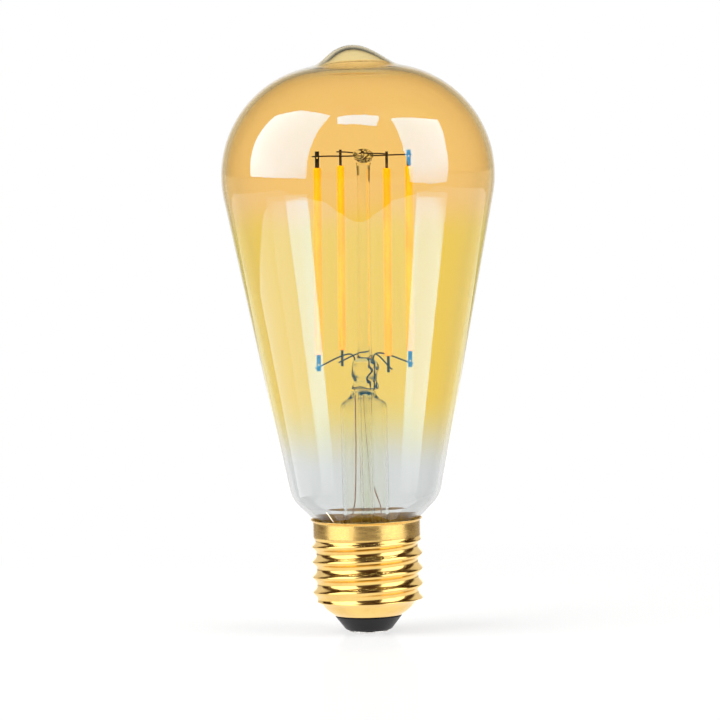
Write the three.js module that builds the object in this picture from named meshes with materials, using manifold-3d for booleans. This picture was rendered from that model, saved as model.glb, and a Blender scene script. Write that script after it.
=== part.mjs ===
// Edison-shaped LED filament lamp with a screw cap, and a driver with a radio module inside the cap.
// Millimetres, +Z up along the lamp's axis. The origin is the centre of the cap's bottom contact.
import * as THREE from "three";
import { mergeVertices } from "three/addons/utils/BufferGeometryUtils.js";
import { ParametricGeometry } from "three/addons/geometries/ParametricGeometry.js";
import Module from "manifold-3d";

const wasm = await Module();
wasm.setup();

// ---- Driving dimensions ----

const RAD = Math.PI / 180;
const GAP = 0.3; // left between fused or soldered neighbours

// Glass envelope: a dome on a long cone, a short neck, and a solid pip on top.
const TIP_Z = 138.9;
const GLASS_WALL = 1.2;
const DOME_Z = 108.3; // height of the widest circle
const DOME_CENTRE_R = 6.2; // the dome is an arc swung round the axis at this distance
const DOME_R = 26; // radius of that arc
const PIP_FOOT = 78 * RAD; // where the pip's foot leaves the dome's arc
const PIP_WAIST = { r: 8, z: 135.25, slope: 0.72 };
const CONE_ANGLE = 11.2 * RAD;
const CONE_FOOT_Z = 34.25;
const FOOT_R = 8; // arc that turns the cone in towards the neck
const FOOT_ANGLE = 46 * RAD;
const NECK_R = 11;
const NECK_FILLET_R = 2.5;
const NECK_Z = 16;

// Stem: a flared tube, the press that seals the wires, a pumping tube and a rod.
const STEM_R = 5.55;
const STEM_WALL = 0.75;
const BELL_TOP_Z = 25;
const SHOULDER_Z = 53.3;
const PRESS_Z = 57.5;
const PRESS_TOP_Z = 65.2;
const PRESS_HALF = { x: 3.3, y: 2.9 };
const ROD_R = 1.55;
const ROD_TOP_Z = 110.9;
const BUTTON_R = 2.5;
const BUTTON_HEIGHT = 3.3;
const PUMP_TUBE = { x: 0.4, r: 1.7, bore: 0.9, z: 20, top: 57.1 };

// The press and all that it carries lean a little off the axis, as a hand-sealed stem does.
const MOUNT = { x: 0.45, foot: PRESS_Z, lean: 0.9 * RAD };

// Filaments stand on a circle, 90 degrees apart, with their flat faces along the radius.
const FILAMENT_COUNT = 4;
const FILAMENT_CIRCLE_R = 12.1;
const FILAMENT_AZIMUTH = 26.6 * RAD;
const COAT = { width: 1.7, depth: 1.55, z: 65.9, length: 44.6, corner: 0.6 };
const SLOT = { width: 1.3, depth: 0.5 };
const STRIP = { width: 0.8, depth: 0.25 };
const TERMINAL = { width: 1, depth: 0.2, length: 5, inside: 1.5, hole: 0.25, holeFromEnd: 1.5 };

// Wires inside the glass.
const WIRE_R = 0.2;
const WELD_OFFSET = TERMINAL.depth / 2 + WIRE_R + 0.15; // a wire lies on a terminal's flat face
const WIRE_OVERHANG = 1;
const TOP_WIRE_Z = [112.8, 113.45];
const BOTTOM_WELD_Z = 63.5;
// Where each bottom wire leaves the press, in the filaments' order, and how high it arches.
const PRESS_EXITS = [
  { x: 1.9, y: 1 },
  { x: 0.7, y: 2.05 },
  { x: -2.5, y: -0.3 },
  { x: 2, y: -1 },
];
const ARCH_Z = 66.1;
// The leads run from under the press down to the board, where both lie against its face.
const LEFT_LEAD = [[-1.95, 0.4, 56.3], [-2, 0.4, 50], [-2.1, 0.4, 43], [-2.6, 0.3, 31], [-3.6, 0.3, 27]];
const LEFT_LEAD_FOOT = { x: -3.6, bend: 19, end: 13 };
const RIGHT_LEAD = [[-0.3, 2.3, 55.5], [0.1, 2.5, 50], [0.9, 2.7, 43], [1.9, 2.6, 35], [3.7, 1.6, 28.5]];
const RIGHT_LEAD_FOOT = { x: 4, bend: 22, end: 13 };

// Screw cap, size E27.
const CAP = { bottomZ: 4.1, bottomR: 8.1, coneSlope: 1.1, collarR: 12.65, wall: 0.3 };
const LIP = { startZ: 26.2, topZ: 26.95, r: 13.3 };
const THREAD = { pitch: 3.629, rootR: 12.05, crestR: 13.05, crestZ: 15.07 };
const THREAD_ENDS = { startZ: 7.6, fadeZ: 22, endZ: 23 };
const INSULATOR = { z: 0.55, bottomR: 5.45, topZ: 3.8, topR: 7.9, plugZ: 4.9, plugR: 7.2, bore: 1.3 };
const CONTACT = { r: 4.9, flatR: 3.8, thickness: 0.5, bevelZ: 0.3, hole: 1.5 };
const SOLDER = { r: 1.3, flatR: 1.1, bevelZ: 0.15 };
const CEMENT = { inner: 11.3, outer: 12.05, z: 23, top: 25.3, notch: 5 * RAD };

// The side wire, as radius and height at one azimuth: out of the cap's driver, up between the neck
// and the shell, and over the lip onto the bare glass.
const SIDE_WIRE_AZIMUTH = 233.6 * RAD;
const SIDE_WIRE_R = 0.13;
const SIDE_WIRE_IN_CAP = [[8.6, 13.6], [9.4, 15.1], [10.6, 15.35], [11.35, 16.3], [11.35, 20], [11.35, 24.2]];
const SIDE_WIRE_ON_GLASS = [[11.7, 25.8], [12.74, 26.95], [14.1, 28.25], [15.6, 29.75]];
const CENTRE_WIRE = { z: 0.7, top: 5.2 };

// Driver board, standing across the cap, and what is soldered to it.
const BOARD = { halfWidth: 9, foot: 6.4, z: 5.5, shoulderZ: 8.6, topZ: 14.8, thickness: 1 };
const SLEEVE = { inner: 10.1, outer: 10.4, z: 8.9, top: 14.6 };
const RADIO = { width: 7, thickness: 0.8, y: 2.6, z: 8.6, topZ: 19.4 };
const CAPACITOR = { x: -4.9, y: -3, r: 2.5, z: 7.6, topZ: 14.2, bevel: 0.2, grooveR: 2.25, grooveZ: 8.6 };
const BUNG = { r: 2.1, z: 6.9, topZ: 7.55 };
const CHOKE = { x: 4.6, y: -3.1, r: 2.7, waistR: 1.2, z: 8, topZ: 13, flange: 0.8, windingR: 2.35 };
const FUSE = { r: 1, waistR: 0.8, endR: 0.9, halfLength: 2.2, cap: 0.4, waistHalf: 1.2, y: -1.4, z: 6.8 };

// ---- Materials ----

function surface(color, roughness, metalness) {
  return new THREE.MeshStandardMaterial({ color, roughness, metalness });
}

const amberGlass = surface(0xe8b85c, 0.05, 0);
amberGlass.transparent = true;
amberGlass.opacity = 0.35;
const clearGlass = surface(0xdfe6df, 0.05, 0);
clearGlass.transparent = true;
clearGlass.opacity = 0.3;
const phosphor = surface(0xf5a21c, 0.55, 0);
const ceramic = surface(0xe9e6dc, 0.6, 0);
const nickel = surface(0x6f6a60, 0.35, 1);
const copper = surface(0xb06a3c, 0.4, 1);
const brass = surface(0xe2b04a, 0.22, 1);
const blackMoulding = surface(0x17161a, 0.45, 0);
const tin = surface(0xb9bbbd, 0.35, 1);
const cement = surface(0xb89a62, 0.9, 0);
const boardGreen = surface(0x1f5a3a, 0.5, 0);
const boardBlue = surface(0x1c3f73, 0.5, 0);
const blackPlastic = surface(0x1b1b1d, 0.45, 0);
const darkSleeve = surface(0x20242c, 0.35, 0);
const ferrite = surface(0x3a3a3c, 0.7, 0);
const film = surface(0xd9a23a, 0.4, 0);
const beige = surface(0xcdb58a, 0.6, 0);

// ---- Shape helpers ----

const lamp = new THREE.Group();
const mount = new THREE.Group();

function add(name, geometry, material, holder = lamp) {
  const mesh = new THREE.Mesh(geometry, material);
  mesh.name = name;
  holder.add(mesh);
  return mesh;
}

const point = (r, z) => new THREE.Vector2(r, z);
const polar = (r, azimuth, z) => new THREE.Vector3(r * Math.cos(azimuth), r * Math.sin(azimuth), z);

// A solid turned round Z from an outline of (radius, height) points that runs up the outside.
function turned(outline, segments = 24) {
  return new THREE.LatheGeometry(outline, segments).rotateX(Math.PI / 2);
}

// The outline of a plain ring or, with no bore, of a disc.
function ringOutline(outer, z, top, bore = 0) {
  const outline = [point(bore, z), point(outer, z), point(outer, top), point(bore, top)];
  return bore ? [...outline, point(bore, z)] : outline;
}

function roundedRectangle(width, height, corner) {
  const [x, y] = [width / 2, height / 2];
  const shape = new THREE.Shape();
  shape.moveTo(x, y - corner);
  shape.absarc(x - corner, y - corner, corner, 0, 90 * RAD);
  shape.absarc(corner - x, y - corner, corner, 90 * RAD, 180 * RAD);
  shape.absarc(corner - x, corner - y, corner, 180 * RAD, 270 * RAD);
  shape.absarc(x - corner, corner - y, corner, 270 * RAD, 360 * RAD);
  return shape;
}

function rectangle(width, height) {
  const [x, y] = [width / 2, height / 2];
  return new THREE.Shape([point(-x, -y), point(x, -y), point(x, y), point(-x, y)]);
}

const circle = (r, x = 0, y = 0) => new THREE.Path().absarc(x, y, r, 0, 2 * Math.PI);

// A flat shape raised from z to top.
function raised(shape, z, top, curveSegments = 4) {
  const options = { depth: top - z, bevelEnabled: false, curveSegments };
  return new THREE.ExtrudeGeometry(shape, options).translate(0, 0, z);
}

// A round wire through the given points.
function wire(points, r = WIRE_R, steps = 14) {
  const section = new THREE.Shape().absarc(0, 0, r, 0, 2 * Math.PI);
  const extrudePath = new THREE.CatmullRomCurve3(points, false, "centripetal");
  const options = { steps, curveSegments: 4, bevelEnabled: false, extrudePath };
  return new THREE.ExtrudeGeometry(section, options);
}

// A box between x, y and z limits.
function block([x0, x1], [y0, y1], [z0, z1]) {
  const box = new THREE.BoxGeometry(x1 - x0, y1 - y0, z1 - z0);
  return box.translate((x0 + x1) / 2, (y0 + y1) / 2, (z0 + z1) / 2);
}

function toSolid(geometry) {
  const bare = geometry.clone();
  bare.deleteAttribute("normal");
  bare.deleteAttribute("uv");
  const merged = mergeVertices(bare, 1e-3);
  const mesh = { numProp: 3, vertProperties: merged.attributes.position.array };
  return new wasm.Manifold(new wasm.Mesh({ ...mesh, triVerts: new Uint32Array(merged.index.array) }));
}

function cut(geometry, ...cutters) {
  const left = cutters.reduce((solid, cutter) => solid.subtract(toSolid(cutter)), toSolid(geometry));
  const mesh = left.getMesh();
  return new THREE.BufferGeometry()
    .setAttribute("position", new THREE.BufferAttribute(mesh.vertProperties, 3))
    .setIndex(new THREE.BufferAttribute(mesh.triVerts, 1));
}

// ---- Glass envelope ----

// The wall's outline from the dome down to the neck's end, moved in by inset, from the top down.
function envelopeSide(path, inset) {
  const domeR = DOME_R - inset;
  const [cos, sin] = [Math.cos(CONE_ANGLE), Math.sin(CONE_ANGLE)];
  const coneTop = point(DOME_CENTRE_R + domeR * cos, DOME_Z - domeR * sin);
  const coneFoot = point(coneTop.x - (coneTop.y - CONE_FOOT_Z) * Math.tan(CONE_ANGLE), CONE_FOOT_Z);
  const footR = FOOT_R - inset;
  const foot = point(coneFoot.x - footR * cos, coneFoot.y + footR * sin);
  const neckR = NECK_R - inset;
  const filletR = NECK_FILLET_R + inset;
  const footEnd = point(foot.x + footR * Math.cos(FOOT_ANGLE), foot.y - footR * Math.sin(FOOT_ANGLE));
  const meet = footEnd.y - (footEnd.x - neckR) / Math.tan(FOOT_ANGLE);
  const filletZ = meet - filletR * Math.tan(FOOT_ANGLE / 2);
  path.lineTo(coneFoot.x, coneFoot.y);
  path.absarc(foot.x, foot.y, footR, -CONE_ANGLE, -FOOT_ANGLE, true);
  path.absarc(neckR + filletR, filletZ, filletR, Math.PI - FOOT_ANGLE, Math.PI, false);
  path.lineTo(neckR, NECK_Z);
}

function envelopeGeometry() {
  const footR = DOME_CENTRE_R + DOME_R * Math.cos(PIP_FOOT);
  const foot = point(footR, DOME_Z + DOME_R * Math.sin(PIP_FOOT));
  const footSlope = 1 / Math.tan(PIP_FOOT);
  const { r, z, slope } = PIP_WAIST;
  const outer = new THREE.Path();
  outer.moveTo(0, TIP_Z);
  outer.bezierCurveTo(3.5, TIP_Z, r - 2, z + 2 * slope, r, z);
  outer.bezierCurveTo(r + 1.2, z - 1.2 * slope, foot.x - 1.2, foot.y + 1.2 * footSlope, foot.x, foot.y);
  outer.absarc(DOME_CENTRE_R, DOME_Z, DOME_R, PIP_FOOT, -CONE_ANGLE, true);
  envelopeSide(outer, 0);

  const inner = new THREE.Path();
  inner.moveTo(0, DOME_Z + DOME_R - GLASS_WALL);
  inner.absarc(DOME_CENTRE_R, DOME_Z, DOME_R - GLASS_WALL, 90 * RAD, -CONE_ANGLE, true);
  envelopeSide(inner, GLASS_WALL);

  const outline = [...outer.getPoints(5).reverse(), ...inner.getPoints(5)];
  outline.push(outline[0]);
  return turned(outline.filter((p, i) => i === 0 || p.distanceTo(outline[i - 1]) > 0.05), 32);
}

add("glass_envelope", envelopeGeometry(), amberGlass);

// ---- Stem ----

// A tube that opens into a bell at its foot and closes to a shoulder under the press.
function stemTubeGeometry() {
  const bellR = NECK_R - GLASS_WALL - GAP;
  const shoulderR = PRESS_HALF.y;
  const bellZ = NECK_Z + GAP;
  const side = (inset) => {
    const path = new THREE.Path();
    const [bell, tube, neck] = [bellR - inset, STEM_R - inset, shoulderR - inset];
    path.moveTo(bell, bellZ);
    path.bezierCurveTo(bell - 2, bellZ + 2, tube, BELL_TOP_Z - 4, tube, BELL_TOP_Z);
    path.lineTo(tube, SHOULDER_Z);
    path.bezierCurveTo(tube, SHOULDER_Z + 2, neck, PRESS_Z - 2, neck, PRESS_Z - GAP);
    return path.getPoints(5);
  };
  const outline = [...side(0), ...side(STEM_WALL).reverse()];
  return turned([...outline, outline[0]], 24);
}

function pressGeometry() {
  const shape = new THREE.Shape().absellipse(0, 0, PRESS_HALF.x, PRESS_HALF.y, 0, 2 * Math.PI);
  shape.holes = PRESS_EXITS.map(({ x, y }) => circle(WIRE_R + GAP - 0.05, x, y));
  return raised(shape, PRESS_Z, PRESS_TOP_Z, 12);
}

// The pumping tube is open under the press and melted shut at its tip.
function pumpTubeGeometry() {
  const { x, r, bore, z, top } = PUMP_TUBE;
  const outline = [point(0, z), point(0.7 * r, z + 0.4), point(r, z + r), point(r, top)];
  outline.push(point(bore, top), point(bore, z + 1.4 * r), point(0, z + r));
  return turned(outline, 12).translate(x, 0, 0);
}

function buttonGeometry(wires) {
  const mid = ROD_TOP_Z + BUTTON_HEIGHT / 2;
  const outline = [point(0, ROD_TOP_Z), point(ROD_R, ROD_TOP_Z), point(BUTTON_R, mid - 0.5)];
  outline.push(point(BUTTON_R, mid + 0.4), point(1.6, mid + 1.4), point(0, mid + 1.65));
  return cut(turned(outline, 20), ...wires);
}

add("stem_tube", stemTubeGeometry(), clearGlass);
add("stem_press", pressGeometry(), clearGlass, mount);
add("pumping_tube", pumpTubeGeometry(), clearGlass);
const rodOutline = ringOutline(ROD_R, PRESS_TOP_Z + 0.05, ROD_TOP_Z - 0.05);
add("support_rod", turned(rodOutline, 16), clearGlass, mount);

// ---- Filaments and the wires that hold them ----

const azimuthOf = (i) => FILAMENT_AZIMUTH + i * 90 * RAD;

// The middle of filament i's flat face at height z, moved off the face by side times the weld offset.
function weldPoint(i, z, side, extra = 0) {
  const azimuth = azimuthOf(i);
  const tangent = polar(side * WELD_OFFSET, azimuth + 90 * RAD, 0);
  return polar(FILAMENT_CIRCLE_R + extra, azimuth, z).add(tangent);
}

// A straight wire between two opposite filaments, through the glass button, grown by more in radius.
function topWireGeometry(i, more = 0) {
  const z = TOP_WIRE_Z[i];
  const ends = [weldPoint(i, z, 1, WIRE_OVERHANG), weldPoint(i + 2, z, -1, WIRE_OVERHANG)];
  return wire(ends, WIRE_R + more, 4);
}

add("rod_button", buttonGeometry([topWireGeometry(0, GAP), topWireGeometry(1, GAP)]), clearGlass, mount);
add("top_wire_wide", topWireGeometry(0), nickel, mount);
add("top_wire_deep", topWireGeometry(1), nickel, mount);

// A bottom wire rises out of the press, arches over and runs out to its filament.
function bottomWireGeometry(i) {
  const exit = PRESS_EXITS[i];
  const weld = weldPoint(i, BOTTOM_WELD_Z, 1);
  const over = new THREE.Vector3(exit.x, exit.y, ARCH_Z).lerp(weld, 0.13).setZ(ARCH_Z);
  const middle = over.clone().lerp(weld, 0.35).setZ(ARCH_Z - 0.55);
  const heights = [PRESS_Z + 0.1, PRESS_TOP_Z - 1, PRESS_TOP_Z];
  const inPress = heights.map((z) => new THREE.Vector3(exit.x, exit.y, z));
  const end = weldPoint(i, BOTTOM_WELD_Z - 0.25, 1, WIRE_OVERHANG);
  return wire([...inPress, over, middle, weld, end], WIRE_R, 22);
}

function coatGeometry() {
  const shape = roundedRectangle(COAT.width, COAT.depth, COAT.corner);
  shape.holes = [rectangle(SLOT.width, SLOT.depth)];
  return raised(shape, COAT.z, COAT.z + COAT.length);
}

// A thin tag with a hole near its free end. It stands up from z = 0, free end at the top.
function terminalGeometry() {
  const { width, depth, length, hole, holeFromEnd } = TERMINAL;
  const shape = rectangle(width, length);
  shape.holes = [circle(hole, 0, length / 2 - holeFromEnd)];
  const options = { depth, bevelEnabled: false, curveSegments: 4 };
  return new THREE.ExtrudeGeometry(shape, options).translate(0, length / 2, -depth / 2).rotateX(90 * RAD);
}

const sides = ["right_back", "left_back", "left_front", "right_front"];
for (let i = 0; i < FILAMENT_COUNT; i++) {
  const holder = new THREE.Group();
  holder.position.copy(polar(FILAMENT_CIRCLE_R, azimuthOf(i), 0));
  holder.rotation.z = azimuthOf(i);
  mount.add(holder);
  const top = COAT.z + COAT.length;
  const strip = block(
    [-STRIP.width / 2, STRIP.width / 2],
    [-STRIP.depth / 2, STRIP.depth / 2],
    [COAT.z + TERMINAL.inside + GAP, top - TERMINAL.inside - GAP],
  );
  add(`filament_coat_${sides[i]}`, coatGeometry(), phosphor, holder);
  add(`filament_strip_${sides[i]}`, strip, ceramic, holder);
  const upper = add(`filament_top_tag_${sides[i]}`, terminalGeometry(), nickel, holder);
  upper.position.z = top - TERMINAL.inside;
  const hanging = terminalGeometry().rotateX(Math.PI);
  const lower = add(`filament_bottom_tag_${sides[i]}`, hanging, nickel, holder);
  lower.position.z = COAT.z + TERMINAL.inside;
  add(`bottom_wire_${sides[i]}`, bottomWireGeometry(i), nickel, mount);
}

// ---- Lead wires from the press down to the driver ----

const leadFootY = BOARD.thickness / 2 + WIRE_R + 0.15;

function leadGeometry(path, { x, bend, end }) {
  const points = [...path, [x, leadFootY, bend], [x, leadFootY, end]];
  return wire(points.map((p) => new THREE.Vector3(...p)), WIRE_R, 24);
}

add("lead_wire_left", leadGeometry(LEFT_LEAD, LEFT_LEAD_FOOT), copper);
add("lead_wire_right", leadGeometry(RIGHT_LEAD, RIGHT_LEAD_FOOT), copper);

// ---- Screw cap ----

// Outside radius of the rolled shell: a cone, a right-hand thread, a collar and a lip.
function shellRadius(z, azimuth) {
  const cone = CAP.bottomR + CAP.coneSlope * (z - CAP.bottomZ);
  const mean = (THREAD.rootR + THREAD.crestR) / 2;
  const wave = Math.cos(2 * Math.PI * ((z - THREAD.crestZ) / THREAD.pitch) - azimuth);
  const fade = THREE.MathUtils.smoothstep(z, THREAD_ENDS.fadeZ, THREAD_ENDS.endZ);
  const thread = mean + (1 - fade) * ((THREAD.crestR - THREAD.rootR) / 2) * wave;
  const lip = (LIP.r - CAP.collarR) * THREE.MathUtils.smoothstep(z, LIP.startZ, LIP.topZ);
  return Math.min(cone, THREE.MathUtils.lerp(thread, CAP.collarR, fade)) + lip;
}

// The shell is one sheet: its outside from the foot to the lip, then its inside back down.
function shellGeometry() {
  const { startZ, endZ } = THREAD_ENDS;
  const spaced = (from, to, count) => {
    return Array.from({ length: count }, (_, i) => from + ((to - from) * i) / count);
  };
  const rows = [...spaced(CAP.bottomZ, startZ, 4), ...spaced(startZ, endZ, 26)];
  rows.push(endZ, LIP.startZ, (LIP.startZ + LIP.topZ) / 2, LIP.topZ);
  const stations = [...rows.map((z) => [z, 0]), ...rows.reverse().map((z) => [z, CAP.wall])];
  stations.push(stations[0]);
  const last = stations.length - 1;
  const place = (u, v, target) => {
    const [z, inset] = stations[Math.round(v * last)];
    const azimuth = 2 * Math.PI * (u === 1 ? 0 : u);
    const r = shellRadius(z, azimuth) - inset;
    target.set(r * Math.cos(azimuth), r * Math.sin(azimuth), z);
  };
  return new ParametricGeometry(place, 32, last);
}

function insulatorGeometry() {
  const { z, bottomR, topZ, topR, plugZ, plugR, bore } = INSULATOR;
  const outline = [point(bore, z), point(bottomR, z), point(topR, topZ), point(plugR, topZ)];
  outline.push(point(plugR, plugZ), point(bore, plugZ), point(bore, z));
  return turned(outline, 24);
}

function contactGeometry() {
  const { r, flatR, thickness, bevelZ, hole } = CONTACT;
  const outline = [point(hole, 0), point(flatR, 0), point(r, bevelZ), point(r, thickness)];
  outline.push(point(hole, thickness), point(hole, 0));
  return turned(outline, 24);
}

function solderGeometry() {
  const { r, flatR, bevelZ } = SOLDER;
  const top = CONTACT.thickness;
  return turned([point(0, 0), point(flatR, 0), point(r, bevelZ), point(r, top), point(0, top)], 16);
}

// The cement ring leaves a notch for the side wire.
function cementGeometry() {
  const shape = new THREE.Shape();
  const [start, end] = [SIDE_WIRE_AZIMUTH + CEMENT.notch, SIDE_WIRE_AZIMUTH - CEMENT.notch + 2 * Math.PI];
  shape.absarc(0, 0, CEMENT.outer, start, end, false);
  shape.absarc(0, 0, CEMENT.inner, end, start, true);
  return raised(shape, CEMENT.z, CEMENT.top, 28);
}

function sideWireGeometry() {
  const path = [...SIDE_WIRE_IN_CAP, ...SIDE_WIRE_ON_GLASS];
  return wire(path.map(([r, z]) => polar(r, SIDE_WIRE_AZIMUTH, z)), SIDE_WIRE_R, 32);
}

function centreWireGeometry() {
  const ends = [new THREE.Vector3(0, 0, CENTRE_WIRE.z), new THREE.Vector3(0, 0, CENTRE_WIRE.top)];
  return wire(ends, WIRE_R, 2);
}

add("screw_shell", shellGeometry(), brass);
add("cap_insulator", insulatorGeometry(), blackMoulding);
add("contact_plate", contactGeometry(), tin);
add("contact_solder", solderGeometry(), tin);
add("cap_cement", cementGeometry(), cement);
add("side_contact_wire", sideWireGeometry(), copper);
add("centre_contact_wire", centreWireGeometry(), copper);
const sleeveOutline = ringOutline(SLEEVE.outer, SLEEVE.z, SLEEVE.top, SLEEVE.inner);
add("insulating_sleeve", turned(sleeveOutline, 24), film);

// ---- Driver board and its parts ----

function boardGeometry() {
  const { halfWidth, foot, z, shoulderZ, topZ, thickness } = BOARD;
  const half = [point(foot, z), point(halfWidth, shoulderZ), point(halfWidth, topZ)];
  const shape = new THREE.Shape([...half, ...half.map((p) => point(-p.x, p.y)).reverse()]);
  const options = { depth: thickness, bevelEnabled: false };
  return new THREE.ExtrudeGeometry(shape, options).translate(0, 0, -thickness / 2).rotateX(90 * RAD);
}

const backY = BOARD.thickness / 2 + 0.05;
const frontY = -backY;
add("driver_board", boardGeometry(), boardGreen);
add("bridge_rectifier", block([-8.6, -4.6], [backY, backY + 1.6], [8.6, 12.6]), blackPlastic);
add("led_driver_chip", block([4.7, 8.6], [backY, backY + 1.5], [8.5, 13.4]), blackPlastic);
add("module_header", block([-3, 3], [backY, RADIO.y - 0.05], [9, 10.6]), blackPlastic);

const radioFace = RADIO.y + RADIO.thickness;
const radioHalf = RADIO.width / 2;
const radioBoard = block([-radioHalf, radioHalf], [RADIO.y, radioFace], [RADIO.z, RADIO.topZ]);
add("radio_board", radioBoard, boardBlue);
add("radio_chip", block([-2, 2], [radioFace + 0.05, radioFace + 0.85], [9.6, 13.6]), blackPlastic);
add("radio_crystal", block([-1.1, 1.1], [radioFace + 0.05, radioFace + 0.65], [14.6, 16.2]), tin);

// A capacitor can, with the pressed groove near its foot, and its rubber bung.
function capacitorGeometry() {
  const { x, y, r, z, topZ, bevel, grooveR, grooveZ } = CAPACITOR;
  const outline = [point(0, z), point(r - bevel / 2, z), point(r, z + bevel)];
  outline.push(point(r, grooveZ - 0.3), point(grooveR, grooveZ), point(r, grooveZ + 0.3));
  outline.push(point(r, topZ - bevel), point(r - bevel, topZ), point(0, topZ));
  return turned(outline, 16).translate(x, frontY + y, 0);
}

function bungGeometry() {
  const bung = turned(ringOutline(BUNG.r, BUNG.z, BUNG.topZ), 12);
  return bung.translate(CAPACITOR.x, frontY + CAPACITOR.y, 0);
}

// A drum core: two flanges on a waist.
function chokeCoreGeometry() {
  const { x, y, r, waistR, z, topZ, flange } = CHOKE;
  const outline = [point(0, z), point(r, z), point(r, z + flange), point(waistR, z + flange)];
  outline.push(point(waistR, topZ - flange), point(r, topZ - flange), point(r, topZ), point(0, topZ));
  return turned(outline, 16).translate(x, frontY + y, 0);
}

// The winding round the waist, clear of the core by less than a wire's width.
function chokeWindingGeometry() {
  const { x, y, waistR, z, topZ, flange, windingR } = CHOKE;
  const outline = ringOutline(windingR, z + flange + 0.1, topZ - flange - 0.1, waistR + 0.15);
  return turned(outline, 16).translate(x, frontY + y, 0);
}

// A fusible resistor lying across the board: a thin body between two raised end caps.
function fuseGeometry() {
  const { r, waistR, endR, halfLength, cap, waistHalf, y, z } = FUSE;
  const half = [point(waistR, waistHalf), point(r, halfLength - cap), point(endR, halfLength)];
  const outline = [...half.map((p) => point(p.x, -p.y)).reverse(), ...half];
  const body = turned([point(0, -halfLength), ...outline, point(0, halfLength)], 12);
  return body.rotateY(90 * RAD).translate(0, frontY + y, z);
}

add("smoothing_capacitor", capacitorGeometry(), darkSleeve);
add("capacitor_bung", bungGeometry(), ferrite);
add("choke_core", chokeCoreGeometry(), ferrite);
add("choke_winding", chokeWindingGeometry(), copper);
add("fuse_resistor", fuseGeometry(), beige);

// The mount turns about the middle of the press's foot.
mount.rotation.y = MOUNT.lean;
mount.position.set(MOUNT.x, 0, 0).sub(new THREE.Vector3(0, 0, MOUNT.foot).applyEuler(mount.rotation));
mount.position.z += MOUNT.foot;
lamp.add(mount);

export default lamp;
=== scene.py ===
"""The finished look of a smart LED filament lamp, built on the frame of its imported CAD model.

The file is laid out as an add-on: its panel lists one operator for each group of pieces. Run as a
script, it makes the whole lamp and its stage. Lengths are metres, and +Z runs up the lamp's axis.
"""

import math

import bmesh
import bpy
import numpy as np
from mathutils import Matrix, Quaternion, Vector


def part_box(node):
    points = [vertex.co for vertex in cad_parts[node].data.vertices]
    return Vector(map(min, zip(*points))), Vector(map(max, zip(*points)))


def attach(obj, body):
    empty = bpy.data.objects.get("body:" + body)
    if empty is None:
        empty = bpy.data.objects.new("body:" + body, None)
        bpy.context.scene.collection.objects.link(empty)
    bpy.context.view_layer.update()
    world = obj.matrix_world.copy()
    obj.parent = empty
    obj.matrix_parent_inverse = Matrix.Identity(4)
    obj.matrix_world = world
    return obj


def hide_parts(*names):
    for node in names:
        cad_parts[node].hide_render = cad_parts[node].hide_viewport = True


bl_info = {
    "name": "Filament Lamp",
    "version": (1, 0, 0),
    "blender": (4, 5, 0),
    "location": "3D View > Sidebar > Lamp",
    "description": "Makes the glass, filaments, wires and screw cap of a smart filament lamp",
    "category": "Add Mesh",
}

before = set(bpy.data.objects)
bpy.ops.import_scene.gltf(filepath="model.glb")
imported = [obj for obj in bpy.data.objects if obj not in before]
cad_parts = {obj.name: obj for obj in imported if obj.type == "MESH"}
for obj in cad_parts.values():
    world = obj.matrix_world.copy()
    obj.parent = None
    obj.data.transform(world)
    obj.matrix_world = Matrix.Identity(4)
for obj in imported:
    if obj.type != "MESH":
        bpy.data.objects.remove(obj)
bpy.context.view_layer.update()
BODY = "root"
MM = 0.001
SIDES = ("right_back", "left_back", "left_front", "right_front")
PRESS_FOOT = 57.5 * MM


def top_of(node):
    """Height of a CAD node's highest point."""
    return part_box(node)[1].z


def foot_of(node):
    """Height of a CAD node's lowest point."""
    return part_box(node)[0].z


# ---- Sizes and colours that a user would change ----


def length(name, millimetres, description):
    """A length property that is shown in the scene's unit and stored in metres."""
    return bpy.props.FloatProperty(
        name=name, description=description, default=millimetres * MM, unit="LENGTH", precision=5
    )


def angle(name, degrees, description):
    """An angle property that is shown in degrees and stored in radians."""
    return bpy.props.FloatProperty(
        name=name, description=description, default=math.radians(degrees), subtype="ANGLE"
    )


def colour(name, value, description):
    """A colour property with linear red, green and blue."""
    return bpy.props.FloatVectorProperty(
        name=name, description=description, default=value, size=3, min=0, max=1, subtype="COLOR"
    )


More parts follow.
